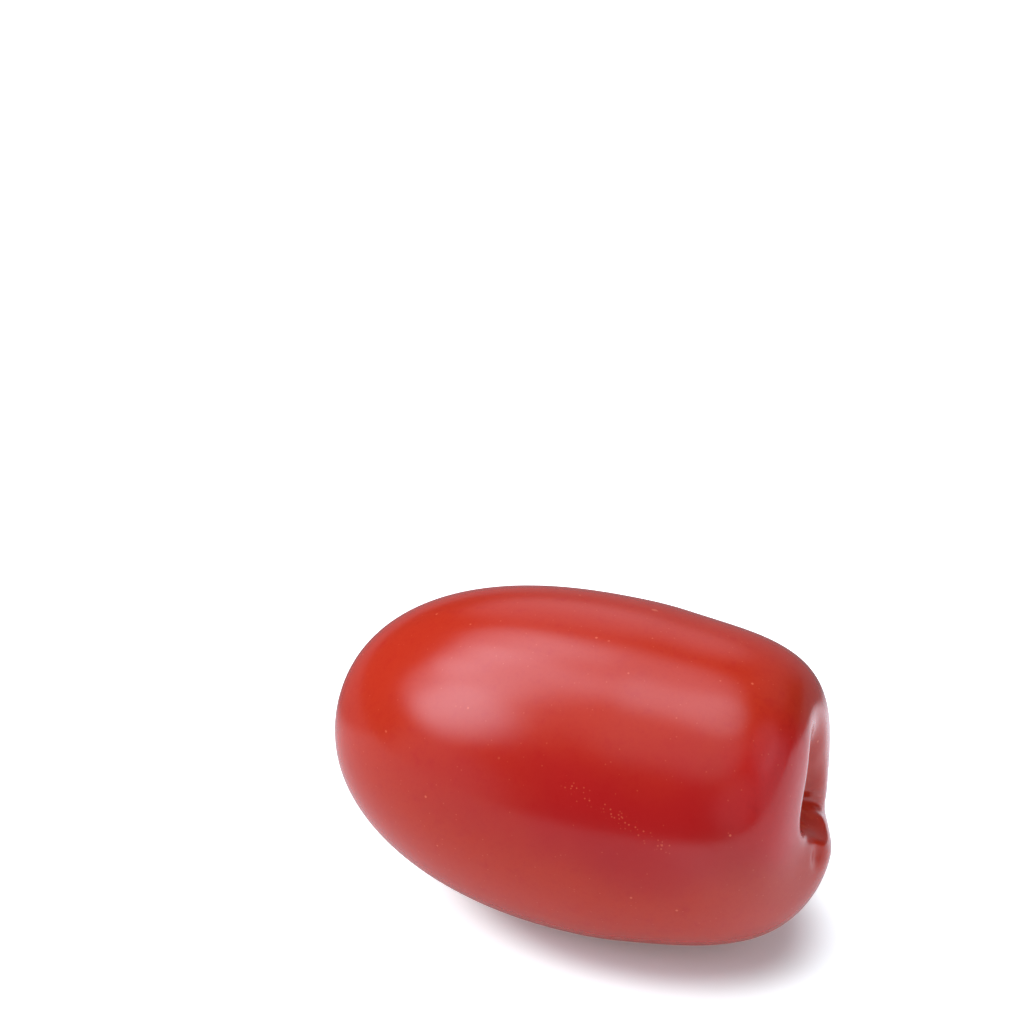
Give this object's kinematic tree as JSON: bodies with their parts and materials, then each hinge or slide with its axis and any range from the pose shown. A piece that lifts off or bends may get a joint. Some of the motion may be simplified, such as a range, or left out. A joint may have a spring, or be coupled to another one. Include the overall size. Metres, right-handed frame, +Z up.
{
  "type": "plum tomato",
  "caption": "Whole ripe plum tomato lying on its side, with a lobed stem end, a corky stalk scar in its dimple and a small flower scar on the tip.",
  "frame": {"origin": "middle of the footprint, on the surface that the fruit lies on", "axes": "+X along the fruit from the flower scar to the stem end, +Z up"},
  "size_m": [0.0696, 0.046, 0.0456],
  "materials": {
    "tomato_skin": "smooth waxy skin, ripe red with faint orange and deep red mottling"
  },
  "bodies": {
    "root": {"tomato": "tomato_skin"}
  },
  "joints": []
}
